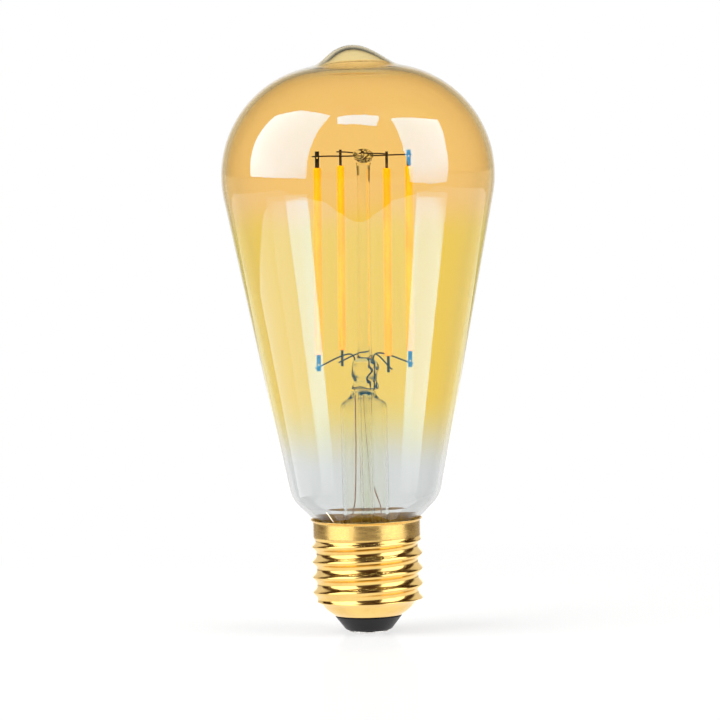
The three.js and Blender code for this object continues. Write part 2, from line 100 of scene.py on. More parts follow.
class LampSizes(bpy.types.PropertyGroup):
    """Driving dimensions of the glass, the mount and the cap."""

    glass_wall: length("Glass wall", 1.2, "Thickness of the envelope's wall")
    dome_height: length("Dome height", 108.3, "Height of the envelope's widest circle")
    dome_offset: length("Dome offset", 6.2, "Distance from the axis to the centre of the dome's arc")
    dome_arc: length("Dome arc", 26.1, "Radius of the dome's arc")
    cone_angle: angle("Cone angle", 11.2, "Slope of the long cone against the axis")
    cone_foot: length("Cone foot", 34.25, "Height where the cone turns in to the neck")
    foot_arc: length("Foot arc", 8, "Radius of the arc at the cone's foot")
    foot_angle: angle("Foot angle", 46, "Slope of the neck's shoulder against the axis")
    neck_radius: length("Neck radius", 11, "Radius of the neck inside the cap")
    pip_angle: angle("Pip angle", 78, "Angle up the dome's arc at which the pip starts")
    pip_waist: length("Pip waist", 8, "Radius where the pip is steepest")
    pip_waist_height: length("Pip waist height", 135.25, "Height of the pip's waist")
    pip_lean: length("Pip lean", 0.7, "How far the drawn-out tip leans to one side")
    coating_end: length("Coating end", 38.5, "Height below which the glass is clear")
    coating_start: length("Coating start", 57, "Height above which the amber coating is full")
    stem_radius: length("Stem radius", 5.55, "Outer radius of the stem's tube")
    stem_wall: length("Stem wall", 0.75, "Thickness of the stem tube's wall")
    mount_shift: length("Mount shift", 0.45, "How far the press stands off the lamp's axis")
    mount_lean: angle("Mount lean", 0.9, "How far the press and the rod lean off the axis")
    filament_circle: length("Filament circle", 12.1, "Radius of the circle that the filaments stand on")
    filament_turn: angle("Filament turn", 26.6, "Azimuth of the first filament")
    side_azimuth: angle("Side wire azimuth", 233.6, "Where the wire to the cap's rim comes out")
    wire_radius: length("Wire radius", 0.2, "Radius of the filaments' support wires")
    thread_pitch: length("Thread pitch", 3.629, "Rise of the cap's thread in one turn")
    thread_root: length("Thread root", 12.05, "Radius in the thread's valleys")
    thread_crest: length("Thread crest", 13.05, "Radius on the thread's crests")
    thread_phase: length("Thread phase", 15.07, "Height of one crest on the +X side")
    cap_wall: length("Cap wall", 0.3, "Thickness of the cap's brass sheet")


class LampColours(bpy.types.PropertyGroup):
    """Colours of the finishes."""

    amber: colour("Amber", (0.96, 0.765, 0.43), "Tint of the coated glass")
    amber_low: colour("Low amber", (0.935, 0.785, 0.27), "Tint of the coating near its lower end")
    amber_tip: colour("Amber tip", (0.94, 0.86, 0.62), "Tint of the coating on the drawn-out tip")
    clear: colour("Clear", (0.81, 0.825, 0.82), "Tint of the bare glass")
    mirror: colour("Mirror", (0.04, 0.52, 1.0), "Tint of what the coated glass reflects")
    phosphor: colour("Phosphor", (0.8, 0.42, 0.003), "Colour of the filaments' silicone coat")
    brass: colour("Brass", (0.95, 0.66, 0.22), "Colour of the screw cap")
    tarnish: colour("Tarnish", (0.62, 0.36, 0.10), "Colour of the cap's darker grain")
    moulding: colour("Moulding", (0.006, 0.006, 0.007), "Colour of the black insulator")
    nickel: colour("Nickel", (0.05, 0.03, 0.018), "Colour of the support wires")
    copper: colour("Copper", (0.34, 0.17, 0.08), "Colour of the lead wires")
    floor: colour("Floor", (0.9, 0.9, 0.9), "Colour of the studio floor")


def sizes():
    """The scene's driving dimensions."""
    return bpy.context.scene.lamp_sizes


def colours():
    """The scene's finish colours."""
    return bpy.context.scene.lamp_colours


# ---- Outlines and paths, as arrays of points ----


def arc(centre, radius, start, end, count):
    """Points of a circular arc: centre plus radius times (cos, sin) of angles from start to end."""
    angles = np.linspace(start, end, count)
    return np.column_stack((centre[0] + radius * np.cos(angles), centre[1] + radius * np.sin(angles)))


def bezier(start, lead, trail, end, count):
    """Points of a cubic Bezier curve from start to end, drawn towards lead and then from trail."""
    t = np.linspace(0, 1, count)[:, None]
    weights = ((1 - t) ** 3, 3 * (1 - t) ** 2 * t, 3 * (1 - t) * t**2, t**3)
    return sum(w * np.asarray(p, float) for w, p in zip(weights, (start, lead, trail, end)))


def line(start, end, count):
    """Evenly spaced points on a straight line."""
    t = np.linspace(0, 1, count)[:, None]
    return (1 - t) * np.asarray(start, float) + t * np.asarray(end, float)


def joined(*parts):
    """The parts end to end, without the points that repeat the one before."""
    points = np.vstack(parts)
    steps = np.linalg.norm(np.diff(points, axis=0), axis=1)
    return points[np.concatenate(([True], steps > 1e-6))]


def smooth_path(points, per_span=10):
    """A Catmull-Rom curve: between two points, a cubic whose slope at each is half the line
    through its two neighbours."""
    p = np.asarray(points, float)
    p = np.vstack((2 * p[0] - p[1], p, 2 * p[-1] - p[-2]))
    before, start, end, after = p[:-3, None], p[1:-2, None], p[2:-1, None], p[3:, None]
    t = np.linspace(0, 1, per_span, endpoint=False)[None, :, None]
    curve = 0.5 * (
        2 * start
        + (end - before) * t
        + (2 * before - 5 * start + 4 * end - after) * t**2
        + (3 * start - before - 3 * end + after) * t**3
    )
    return np.vstack((curve.reshape(-1, p.shape[1]), p[-2]))


def smooth_step(values, low, high):
    """0 below low and 1 above high, with the cubic 3t^2 - 2t^3 between."""
    t = np.clip((values - low) / (high - low), 0, 1)
    return t * t * (3 - 2 * t)


# ---- Surfaces on a two-parameter grid ----


def around(count):
    """Azimuths of one turn, without the repeated last one."""
    return np.linspace(0, 2 * np.pi, count, endpoint=False)


def turned(outline, columns=96, centre=(0.0, 0.0)):
    """A surface of revolution: each (radius, height) of the outline, swung round a vertical axis."""
    azimuth = around(columns)
    radius, height = outline[:, :1], outline[:, 1:]
    x = centre[0] + radius * np.cos(azimuth)
    y = centre[1] + radius * np.sin(azimuth)
    return np.stack((x, y, np.broadcast_to(height, x.shape)), axis=-1)


def tube(path, radius, columns=12, across=(0, 0, 1)):
    """A tube: circles at right angles to the path, closed at both ends by half a ball.

    Each circle's first axis is the path's direction crossed with across, so across is never
    along the path. The circles' radii fall as a quarter circle over the ends.
    """
    path = np.asarray(path, float)
    along = np.gradient(path, axis=0)
    along /= np.linalg.norm(along, axis=1, keepdims=True)
    first = np.cross(along, np.asarray(across, float))
    first /= np.linalg.norm(first, axis=1, keepdims=True)
    second = np.cross(along, first)
    bow = np.linspace(np.pi / 2, 0, 4, endpoint=False)[:, None]
    head = path[0] - along[0] * radius * np.sin(bow)
    tail = (path[-1] + along[-1] * radius * np.sin(bow))[::-1]
    centres = np.vstack((head, path, tail))
    ends = radius * np.cos(bow)
    radii = np.vstack((ends, np.full((len(path), 1), radius), ends[::-1]))
    first = np.vstack((np.repeat(first[:1], 4, 0), first, np.repeat(first[-1:], 4, 0)))
    second = np.vstack((np.repeat(second[:1], 4, 0), second, np.repeat(second[-1:], 4, 0)))
    azimuth = around(columns)[None, :, None]
    ring = np.cos(azimuth) * first[:, None] + np.sin(azimuth) * second[:, None]
    return centres[:, None] + radii[:, None] * ring


def superellipse(half_x, half_y, power, columns=48):
    """Unit outline |x|^power + |y|^power = 1 at even azimuths, scaled to the two half widths."""
    azimuth = around(columns)
    c, s = np.cos(azimuth), np.sin(azimuth)
    reach = (np.abs(c) ** power + np.abs(s) ** power) ** (-1 / power)
    return np.column_stack((half_x * reach * c, half_y * reach * s))


def leaned(points):
    """Points of the mount, moved from upright on the axis to where the mount really stands:
    turned about Y by the lean at the press's foot, then shifted along X."""
    s = sizes()
    x, y, z = points[..., 0], points[..., 1], points[..., 2] - PRESS_FOOT
    c, n = math.cos(s.mount_lean), math.sin(s.mount_lean)
    return np.stack((x * c + z * n + s.mount_shift, y, z * c - x * n + PRESS_FOOT), axis=-1)


def make(name, grid, finish, node):
    """A piece from a grid of points, closed round its columns, that stands in for a CAD node.

    Rows that shrink to a point become poles, doubled points are merged, and the winding is
    turned if the enclosed volume, the sum of signed tetrahedra on the origin, is negative.
    """
    rows, columns = grid.shape[:2]
    index = np.arange(rows * columns).reshape(rows, columns)
    after = np.roll(index, -1, axis=1)
    quads = np.stack((index[:-1], after[:-1], after[1:], index[1:]), axis=-1).reshape(-1, 4)
    points = grid.reshape(-1, 3)
    a, b, c, d = (points[quads[:, i]] for i in range(4))
    volume = np.einsum("ij,ij->i", a, np.cross(b, c) + np.cross(c, d)).sum()
    mesh = bpy.data.meshes.new(name)
    mesh.from_pydata(points.tolist(), [], (quads if volume > 0 else quads[:, ::-1]).tolist())
    welded = bmesh.new()
    welded.from_mesh(mesh)
    bmesh.ops.remove_doubles(welded, verts=welded.verts, dist=1e-7)
    welded.to_mesh(mesh)
    welded.free()
    mesh.shade_smooth()
    mesh.materials.append(finish)
    piece = bpy.data.objects.new(name, mesh)
    bpy.context.scene.collection.objects.link(piece)
    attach(piece, BODY)
    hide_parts(node)
    return piece


# ---- Finishes ----


class Nodes:
    """A node tree, with short calls that add nodes to it and feed their sockets."""

    def __init__(self, tree):
        self.tree = tree

    def feed(self, socket, value):
        """Links a socket to another node's output, or sets it to a plain value."""
        if isinstance(value, bpy.types.NodeSocket):
            self.tree.links.new(value, socket)
        else:
            socket.default_value = value

    def node(self, kind, values=None, **settings):
        """A new node with its settings and what feeds its inputs."""
        made = self.tree.nodes.new(f"ShaderNode{kind}")
        for name, value in settings.items():
            setattr(made, name, value)
        for socket, value in (values or {}).items():
            self.feed(made.inputs[socket], value)
        return made

    def coordinates(self, kind="Object"):
        """Texture coordinates of one kind."""
        return self.node("TexCoord").outputs[kind]

    def range(self, factor, low, high, to_low=0.0, to_high=1.0):
        """The factor, mapped smoothly from one range to another and held at its ends."""
        values = {"Value": factor, "From Min": low, "From Max": high, "To Min": to_low, "To Max": to_high}
        return self.node("MapRange", values, interpolation_type="SMOOTHSTEP").outputs["Result"]

    def mix(self, factor, first, second):
        """Two colours mixed by a factor. Each may be an output or a plain colour."""
        first, second = (c if isinstance(c, bpy.types.NodeSocket) else (*c, 1) for c in (first, second))
        return self.node("Mix", {0: factor, 6: first, 7: second}, data_type="RGBA").outputs[2]

    def math(self, operation, first, second):
        """Arithmetic on two numbers. Each may be an output or a plain number."""
        return self.node("Math", {0: first, 1: second}, operation=operation).outputs[0]

    def blend(self, first, second, factor=None):
        """Two shaders, added, or mixed where there is a factor."""
        if factor is None:
            return self.node("AddShader", {0: first, 1: second}).outputs[0]
        return self.node("MixShader", {0: factor, 1: first, 2: second}).outputs[0]


class Finish(Nodes):
    """A material with one Principled shader, and short calls for what stands behind its sockets."""

    def __init__(self, name, colour, roughness, metallic=0.0, **values):
        self.material = bpy.data.materials.new(name)
        self.material.use_nodes = True
        super().__init__(self.material.node_tree)
        self.shader = self.tree.nodes["Principled BSDF"]
        self.set("Base Color", (*colour, 1))
        self.set("Roughness", roughness)
        self.set("Metallic", metallic)
        for socket, value in values.items():
            self.set(socket.replace("_", " "), value)

    def set(self, socket, value):
        """Feeds a socket of the shader."""
        self.feed(self.shader.inputs[socket], value)

    def place(self, stretch=(1, 1, 1), turn=(0, 0, 0)):
        """Object coordinates in metres, stretched and turned."""
        values = {"Scale": stretch, "Rotation": turn, "Vector": self.coordinates()}
        return self.node("Mapping", values).outputs["Vector"]

    def noise(self, scale, detail=3.0, stretch=(1, 1, 1), rough=0.5):
        """Fractal noise with about scale features to a metre."""
        values = {"Scale": scale, "Detail": detail, "Roughness": rough, "Vector": self.place(stretch)}
        return self.node("TexNoise", values).outputs["Fac"]

    def ramp(self, factor, *stops):
        """A colour for each stop, (position, colour), blended between."""
        made = self.node("ValToRGB", {"Fac": factor})
        elements = made.color_ramp.elements
        for element, (position, value) in zip(elements, (stops[0], stops[-1])):
            element.position, element.color = position, (*value, 1)
        for position, value in stops[1:-1]:
            elements.new(position).color = (*value, 1)
        return made.outputs["Color"]

    def height(self):
        """Height above the cap's contact, in metres."""
        return self.node("SeparateXYZ", {0: self.place()}).outputs["Z"]

    def bump(self, height, strength, depth):
        """Relief whose full height is depth metres."""
        values = {"Strength": strength, "Distance": depth, "Height": height}
        self.set("Normal", self.node("Bump", values).outputs["Normal"])


def darker(value, *factors):
    """A colour with its red, green and blue scaled, each by its own factor."""
    return tuple(v * k for v, k in zip(value, factors))


def amber_glass():
    """Blown glass with an amber luster coating that fades out above the neck. The coating mirrors
    with a tint of its own."""
    s, c = sizes(), colours()
    glass = Finish("amber_glass", c.amber, 0.0, Transmission_Weight=1.0, IOR=1.5, Specular_IOR_Level=1.0)
    uneven = glass.range(glass.noise(55, 2), 0.3, 0.7, -1.2 * MM, 1.2 * MM)
    height = glass.math("ADD", glass.height(), uneven)
    top = glass.mix(glass.range(height, 93 * MM, 104 * MM), c.amber_low, c.amber)
    top = glass.mix(glass.range(height, 132 * MM, 134.5 * MM), top, c.amber_tip)
    coated = glass.range(height, s.coating_end, s.coating_start)
    glass.set("Base Color", glass.mix(coated, c.clear, top))
    glass.set("Specular Tint", glass.mix(coated, (0.22, 0.23, 0.24), c.mirror))
    return glass.material


def lead_glass(name):
    """Lead glass of the stem, faintly streaked along its length: the finish and its streaks."""
    glass = Finish(name, (0.97, 0.975, 0.93), 0.0, Transmission_Weight=1.0, IOR=1.52)
    streaks = glass.noise(900, 2, (1, 1, 0.12))
    tint = glass.mix(glass.range(streaks, 0.35, 0.75), (0.985, 0.985, 0.95), (0.94, 0.95, 0.88))
    glass.set("Base Color", tint)
    return glass, streaks


def drawn_glass():
    """Stem glass as it is drawn, whose streaks hardly stand up."""
    glass, streaks = lead_glass("clear_glass")
    glass.bump(streaks, 0.2, 0.05 * MM)
    return glass.material


def melted_glass():
    """Stem glass that was melted and pressed, with deep soft swirls."""
    glass = lead_glass("melted_glass")[0]
    glass.bump(glass.noise(420, 1.5, (1, 1, 0.8), 0.4), 1.0, 0.5 * MM)
    return glass.material


def phosphor():
    """Phosphor in silicone: a grainy satin coat, a little thicker and redder in places."""
    value = colours().phosphor
    coat = Finish("phosphor_silicone", value, 0.5, Subsurface_Weight=0.25, Specular_IOR_Level=0.04)
    coat.set("Subsurface Scale", 0.6 * MM)
    coat.set("Subsurface Radius", (1.0, 0.45, 0.1))
    grain = coat.noise(9000, 2)
    drift = coat.range(coat.noise(260, 2, (1, 1, 0.35)), 0.35, 0.68)
    coat.set("Base Color", coat.mix(drift, value, darker(value, 0.98, 0.86, 0.7)))
    coat.set("Roughness", coat.range(grain, 0.3, 0.7, 0.38, 0.58))
    coat.bump(grain, 0.25, 0.03 * MM)
    return coat.material


def drawn_wire(name, value, roughness=0.32):
    """Drawn metal wire with fine lines and patches of heat colour."""
    wire = Finish(name, value, roughness, 1.0)
    patch = wire.range(wire.noise(420, 3), 0.42, 0.7)
    wire.set("Base Color", wire.mix(patch, value, darker(value, 0.75, 0.55, 0.35)))
    lines = wire.noise(5200, 2)
    wire.set("Roughness", wire.range(lines, 0.3, 0.7, roughness - 0.08, roughness + 0.12))
    return wire.material


def tag_metal():
    """Stamped strip that the oven has turned from blue-grey to brown."""
    metal = Finish("tag_metal", (0.08, 0.08, 0.09), 0.4, 1.0)
    blue, grey, brown = (0.012, 0.012, 0.016), (0.03, 0.03, 0.036), (0.1, 0.06, 0.035)
    metal.set("Base Color", metal.ramp(metal.noise(520, 3), (0.3, blue), (0.52, grey), (0.7, brown)))
    metal.set("Roughness", metal.range(metal.noise(4000, 2), 0.3, 0.7, 0.3, 0.5))
    return metal.material


def brass():
    """Rolled brass: polished on the thread, with a fine vertical grain on the collar."""
    c = colours()
    metal = Finish("brass_cap", c.brass, 0.16, 1.0)
    collar = metal.range(metal.height(), 21.8 * MM, 23.2 * MM)
    grain = metal.noise(4200, 3, (1, 1, 0.12), 0.6)
    cloud = metal.range(metal.noise(190, 3), 0.35, 0.75, 0.0, 0.28)
    speckle = metal.math("MULTIPLY", metal.range(grain, 0.42, 0.66), collar)
    tone = metal.mix(cloud, c.brass, c.tarnish)
    metal.set("Base Color", metal.mix(metal.math("MULTIPLY", speckle, 0.22), tone, c.tarnish))
    polish = metal.range(metal.noise(1500, 2, (0.2, 0.2, 1)), 0.3, 0.7, 0.13, 0.22)
    metal.set("Roughness", metal.math("ADD", polish, metal.math("MULTIPLY", collar, 0.1)))
    relief = metal.math("ADD", metal.math("MULTIPLY", collar, 0.25), 0.05)
    metal.bump(metal.math("MULTIPLY", grain, relief), 0.2, 0.01 * MM)
    return metal.material


def moulding():
    """Black insulator: fine moulded skin with small pale specks."""
    value = colours().moulding
    black = Finish("black_moulding", value, 0.5, Specular_IOR_Level=0.25)
    fine = black.noise(3800, 4)
    pale = tuple(v * 2.2 for v in value)
    black.set("Base Color", black.mix(black.range(fine, 0.5, 0.8), value, pale))
    black.set("Roughness", black.range(fine, 0.3, 0.7, 0.36, 0.52))
    black.bump(fine, 0.3, 0.03 * MM)
    return black.material


def grained(name, value, roughness, metallic=0.0, scale=2500, shade=0.75, depth=0.03):
    """A plain finish with fine mottling in its colour, gloss and relief."""
    finish = Finish(name, value, roughness, metallic)
    grain = finish.noise(scale, 3)
    mottled = finish.mix(finish.range(grain, 0.35, 0.7), value, darker(value, shade, shade, shade))
    smooth, rough = max(roughness - 0.08, 0.05), min(roughness + 0.1, 1)
    finish.set("Base Color", mottled)
    finish.set("Roughness", finish.range(grain, 0.3, 0.7, smooth, rough))
    finish.bump(grain, 0.4, depth * MM)
    return finish.material


def circuit_board(name, mask):
    """Solder mask over copper tracks: a brick grid of thin raised lines, with a fine gloss."""
    board = Finish(name, mask, 0.35)
    values = {"Scale": 260, "Mortar Size": 0.07, "Brick Width": 1.3}
    values["Vector"] = board.place(turn=(math.pi / 2, 0, 0))
    tracks = board.node("TexBrick", values).outputs["Fac"]
    lighter = tuple(min(1, v * 1.9 + 0.02) for v in mask)
    board.set("Base Color", board.mix(tracks, mask, lighter))
    board.bump(tracks, 0.5, 0.03 * MM)
    return board.material


def winding():
    """Enamelled copper wire wound in close turns, drawn as fine bands round the coil."""
    coil = Finish("coil_wire", (0.6, 0.22, 0.07), 0.25, 0.9)
    values = {"Scale": 700, "Distortion": 0.4, "Vector": coil.place()}
    bands = coil.node("TexWave", values, bands_direction="Z").outputs["Fac"]
    coil.set("Base Color", coil.mix(bands, (0.28, 0.08, 0.03), (0.75, 0.3, 0.1)))
    coil.bump(bands, 0.8, 0.08 * MM)
    return coil.material


def bare_material(name):
    """A material and its empty node tree."""
    made = bpy.data.materials.new(name)
    made.use_nodes = True
    made.node_tree.nodes.clear()
    return made, Nodes(made.node_tree)


def glow(name, strength, bright=(0, 0, 0), reach=0.0, edge=1.0):
    """White emission for the studio's softboxes and cards, which lets rays go on through it. With
    a reach, it falls from strength within half the reach of the bright point to edge times that
    at the reach."""
    made, tree = bare_material(name)
    if reach:
        away = tree.node("VectorMath", {0: tree.coordinates(), 1: bright}, operation="DISTANCE")
        strength = tree.range(away.outputs["Value"], reach / 2, reach, strength, strength * edge)
    emission = tree.node("Emission", {"Strength": strength}).outputs[0]
    through = tree.blend(emission, tree.node("BsdfTransparent").outputs[0])
    tree.node("OutputMaterial", {"Surface": through})
    return made


# ---- Glass ----


def envelope_side(inset, top, count):
    """The envelope's wall from an angle on the dome's arc down to the neck's end, moved in by
    inset: the dome's arc, the straight cone, the foot's arc, a straight shoulder and the neck."""
    s = sizes()
    dome, offset, height = s.dome_arc - inset, s.dome_offset, s.dome_height
    slope, foot_slope, neck_end = s.cone_angle, s.foot_angle, foot_of("glass_envelope")
    cone_top = np.array((offset + dome * math.cos(slope), height - dome * math.sin(slope)))
    drop = cone_top[1] - s.cone_foot
    cone_foot = np.array((cone_top[0] - drop * math.tan(slope), s.cone_foot))
    foot = s.foot_arc - inset
    centre = cone_foot + foot * np.array((-math.cos(slope), math.sin(slope)))
    foot_end = centre + foot * np.array((math.cos(foot_slope), -math.sin(foot_slope)))
    neck, fillet = s.neck_radius - inset, 2.5 * MM + inset
    meet = foot_end[1] - (foot_end[0] - neck) / math.tan(foot_slope)
    fillet_height = meet - fillet * math.tan(foot_slope / 2)
    return joined(
        arc((offset, height), dome, top, -slope, count),
        line(cone_top, cone_foot, 24),
        arc(centre, foot, -slope, -foot_slope, 12),
        arc((neck + fillet, fillet_height), fillet, math.pi - foot_slope, math.pi, 10),
        line((neck, fillet_height), (neck, neck_end + 0.3 * MM), 4),
    )


def envelope_outline():
    """Outside from the tip to the neck's fire-polished end, then the inside back to the axis.
    The pip is two Bezier curves that meet at its waist with one slope. Its inside is the same
    curves moved square to themselves by the wall."""
    s = sizes()
    tip, slope, lead = top_of("glass_envelope"), 0.72, 1.2 * MM
    waist = np.array((s.pip_waist, s.pip_waist_height))
    dome = np.array((s.dome_offset, s.dome_height))
    start = dome + s.dome_arc * np.array((math.cos(s.pip_angle), math.sin(s.pip_angle)))
    down, up = np.array((1, -slope)), np.array((-1, 1 / math.tan(s.pip_angle)))
    pip = joined(
        bezier((0, tip), (3.5 * MM, tip), waist - 2 * MM * down, waist, 16),
        bezier(waist, waist + lead * down, start + lead * up, start, 10),
    )
    outside = envelope_side(0, s.pip_angle, 44)
    inside = envelope_side(s.glass_wall, s.pip_angle, 48)
    along = np.gradient(pip, axis=0)
    inward = np.column_stack((along[:, 1], -along[:, 0])) / np.hypot(along[:, 0], along[:, 1])[:, None]
    crown = pip + s.glass_wall * inward
    crown[0] = (0, tip - s.glass_wall)
    rim = arc((s.neck_radius - s.glass_wall / 2, outside[-1][1]), s.glass_wall / 2, 0, -math.pi, 8)
    return joined(pip, outside, rim, inside[::-1], crown[::-1])


class LAMP_OT_envelope(bpy.types.Operator):
    """Blow the amber glass envelope"""

    bl_idname = "lamp.envelope"
    bl_label = "Glass envelope"

    def execute(self, context):
        grid = turned(envelope_outline(), 192)
        height, top = grid[..., 2], top_of("glass_envelope")
        grid[..., 0] -= sizes().pip_lean * smooth_step(height, 134 * MM, top)
        piece = make("envelope_glass", grid, amber_glass(), "glass_envelope")
        piece.visible_shadow = False
        return {"FINISHED"}


def lumps(grid, amount, seed):
    """The grid with its points pushed out from the axis by a few waves of different counts round
    the axis and along it, as softened glass settles."""
    azimuth, height = np.arctan2(grid[..., 1], grid[..., 0]), grid[..., 2] / MM
    wave = (
        np.sin(3 * azimuth + 1.3 * height + seed)
        + 0.7 * np.sin(5 * azimuth - 1.9 * height + 2 * seed)
        + 0.6 * np.sin(2 * azimuth + 2.7 * height + 3 * seed)
    )
    moved = grid.copy()
    moved[..., :2] *= (1 + amount * wave)[..., None]
    return moved


def stem_tube_grid():
    """The flare, the tube and the shoulder under the press, turned round the axis: an outline of
    two Bezier curves and a line, and the same again a wall further in."""
    s = sizes()
    base, shoulder, top = foot_of("stem_tube"), 53.3 * MM, top_of("stem_tube")
    bend = 2 * MM

    def side(inset):
        bell = 9.5 * MM - inset
        radius = s.stem_radius - inset
        close = 2.9 * MM - inset
        return joined(
            bezier((bell, base), (bell - bend, base + bend), (radius, 21 * MM), (radius, 25 * MM), 20),
            line((radius, 25 * MM), (radius, shoulder), 12),
            bezier((radius, shoulder), (radius, shoulder + bend), (close, top - bend), (close, top), 14),
        )

    outline = joined(side(0), side(s.stem_wall)[::-1])
    return turned(np.vstack((outline, outline[:1])), 72)


def press_grid():
    """The pinch: a rounded oval section, narrow and thick, with a domed top, a waist low down and
    soft lumps. Its section shrinks as a quarter circle over the top and the foot."""
    high, dome, foot = 65.2 * MM, 0.28, 0.04
    oval = superellipse(3.2 * MM, 2.8 * MM, 2.3, 96)
    t = np.linspace(0, 1, 72)
    over_top = np.clip((t - 1 + dome) / dome, 0, 1)
    under_foot = np.clip((foot - t) / foot, 0, 1)
    round_off = np.sqrt((1 - over_top**2.4) * (1 - under_foot**2))
    waist = 1 - 0.14 * np.exp(-(((t - 0.3) / 0.14) ** 2))
    ring = oval[None] * (round_off * waist)[:, None, None]
    height = np.broadcast_to((PRESS_FOOT + (high - PRESS_FOOT) * t)[:, None, None], ring.shape[:2] + (1,))
    return lumps(np.concatenate((ring, height), axis=-1), 0.035, 0.6)


def rod_grid():
    """The rod: a cylinder whose radius swells, by a falling exponential from each end, where it
    meets the press and the button."""
    low, high = 65.1 * MM, 111.1 * MM
    t = np.linspace(0, 1, 60)
    radius = 1.53 * MM * (1 + 0.28 * np.exp(-30 * t) + 0.16 * np.exp(-40 * (1 - t)))
    outline = np.column_stack((radius, low + (high - low) * t))
    return turned(np.vstack(((0, low), outline, (0, high))), 48)


def button_grid():
    """The melted button on the rod: a flattened ball with a fold at each of the four wires.
    The radius is a power of the sine of the polar angle, times one plus folds."""
    polar = np.linspace(0, np.pi, 44)[:, None]
    azimuth = around(72)[None]
    middle, half_height, belly = 112.75 * MM, 1.5 * MM, np.sin(polar)
    wires = np.cos(4 * (azimuth - sizes().filament_turn))
    fold = 0.1 * wires + 0.07 * np.cos(3 * azimuth + 0.8) + 0.05 * np.cos(7 * azimuth + 2)
    ripple = 0.09 * np.sin(6 * polar + 2 * azimuth) * belly
    radius = 2.25 * MM * belly**0.72 * (1 + (fold + ripple) * belly)
    skirt = 0.35 * MM * wires * belly**3
    height = middle + half_height * np.cos(polar) * (1 + 0.1 * np.cos(5 * azimuth)) + skirt
    return np.stack((radius * np.cos(azimuth), radius * np.sin(azimuth), height), axis=-1)


def pumping_tube_grid():
    """The pumping tube: open under the press, melted to a rounded point at its foot."""
    low, high, radius, bore = foot_of("pumping_tube"), top_of("pumping_tube"), 1.68 * MM, 0.92 * MM
    round_end, bore_end, off_axis = low + 2.4 * MM, low + 3.2 * MM, 0.4 * MM
    outside = joined(
        bezier((0, low), (0.9 * MM, low), (radius, low + 0.8 * MM), (radius, round_end), 12),
        line((radius, round_end), (radius, high), 24),
    )
    inside = joined(
        line((bore, high), (bore, bore_end), 24),
        bezier((bore, bore_end), (bore, low + 2 * MM), (0.5 * MM, low + 1.4 * MM), (0, low + 1.3 * MM), 8),
    )
    return turned(joined(outside, inside), 40, (off_axis, 0))


class LAMP_OT_stem(bpy.types.Operator):
    """Make the glass stem, its press, rod, button and pumping tube"""

    bl_idname = "lamp.stem"
    bl_label = "Glass stem"

    def execute(self, context):
        drawn, melted = drawn_glass(), melted_glass()
        pieces = (
            ("stem_flare_tube", stem_tube_grid(), drawn, "stem_tube"),
            ("stem_pinch", leaned(press_grid()), melted, "stem_press"),
            ("glass_rod", leaned(rod_grid()), drawn, "support_rod"),
            ("glass_button", leaned(button_grid()), melted, "rod_button"),
            ("exhaust_tube", pumping_tube_grid(), drawn, "pumping_tube"),
        )
        for name, grid, glass, node in pieces:
            make(name, grid, glass, node).visible_shadow = False
        return {"FINISHED"}


# ---- Filaments and their wires ----


def filament_azimuth(index):
    """Azimuth of a filament: the first one's, plus quarter turns."""
    return sizes().filament_turn + index * math.pi / 2


def on_circle(index, height, sideways=0.0, outwards=0.0):
    """A point at a filament, in the upright mount's frame."""
    azimuth = filament_azimuth(index)
    radius = sizes().filament_circle + outwards
    c, s = math.cos(azimuth), math.sin(azimuth)
    return np.array((radius * c - sideways * s, radius * s + sideways * c, height))


def coat_grid(index):
    """A filament's coat: a rounded square section carried up its height. The section draws in to
    the strip at both ends, and swells by slow waves where the silicone lies thicker."""
    low, high = 65.9 * MM, 110.5 * MM
    section = superellipse(0.85 * MM, 0.775 * MM, 3.2, 28)
    t = np.linspace(0, 1, 120)
    end = np.minimum(t, 1 - t) * (high - low)
    shrink = 0.42 + 0.58 * np.sqrt(1 - (1 - np.clip(end / (0.9 * MM), 0, 1)) ** 2)
    swell = 1 - 0.035 * (0.5 + 0.5 * np.sin(9 * t * np.pi + index)) - 0.02 * np.sin(31 * t + 2 * index)
    scale = shrink * swell
    scale[[0, -1]] = 0
    height = low + (high - low) * t
    height[[0, -1]] = height[[1, -2]]
    c, s = math.cos(filament_azimuth(index)), math.sin(filament_azimuth(index))
    turned_section = section @ np.array(((c, s), (-s, c)))
    ring = turned_section[None] * scale[:, None, None] + on_circle(index, 0)[:2]
    level = np.broadcast_to(height[:, None, None], ring.shape[:2] + (1,))
    return leaned(np.concatenate((ring, level), axis=-1))


def sideways(azimuth):
    """Level unit vector at right angles to an azimuth."""
    return -math.sin(azimuth), math.cos(azimuth), 0.0


def weld_side():
    """How far a wire's middle lies off a tag's middle, so that it rests on the tag's flat face."""
    half_tag, clear = 0.1 * MM, 0.1 * MM
    return half_tag + sizes().wire_radius + clear


def top_wire_path(index, height):
    """From one filament to the one across, dipping a little at the button."""
    first = on_circle(index, height, weld_side(), 1.0 * MM)
    last = on_circle(index + 2, height, -weld_side(), 1.0 * MM)
    count = 40
    path = line(first, last, count)
    middle = 1 - np.abs(np.linspace(-1, 1, count))
    path[:, 2] += 0.1 * MM * np.sin(middle * 7) * middle
    return leaned(path)


# Where each filament's wire leaves the press: (x, y) in millimetres.
PRESS_EXITS = ((1.9, 1.0), (0.7, 2.05), (-2.5, -0.3), (2.0, -1.0))


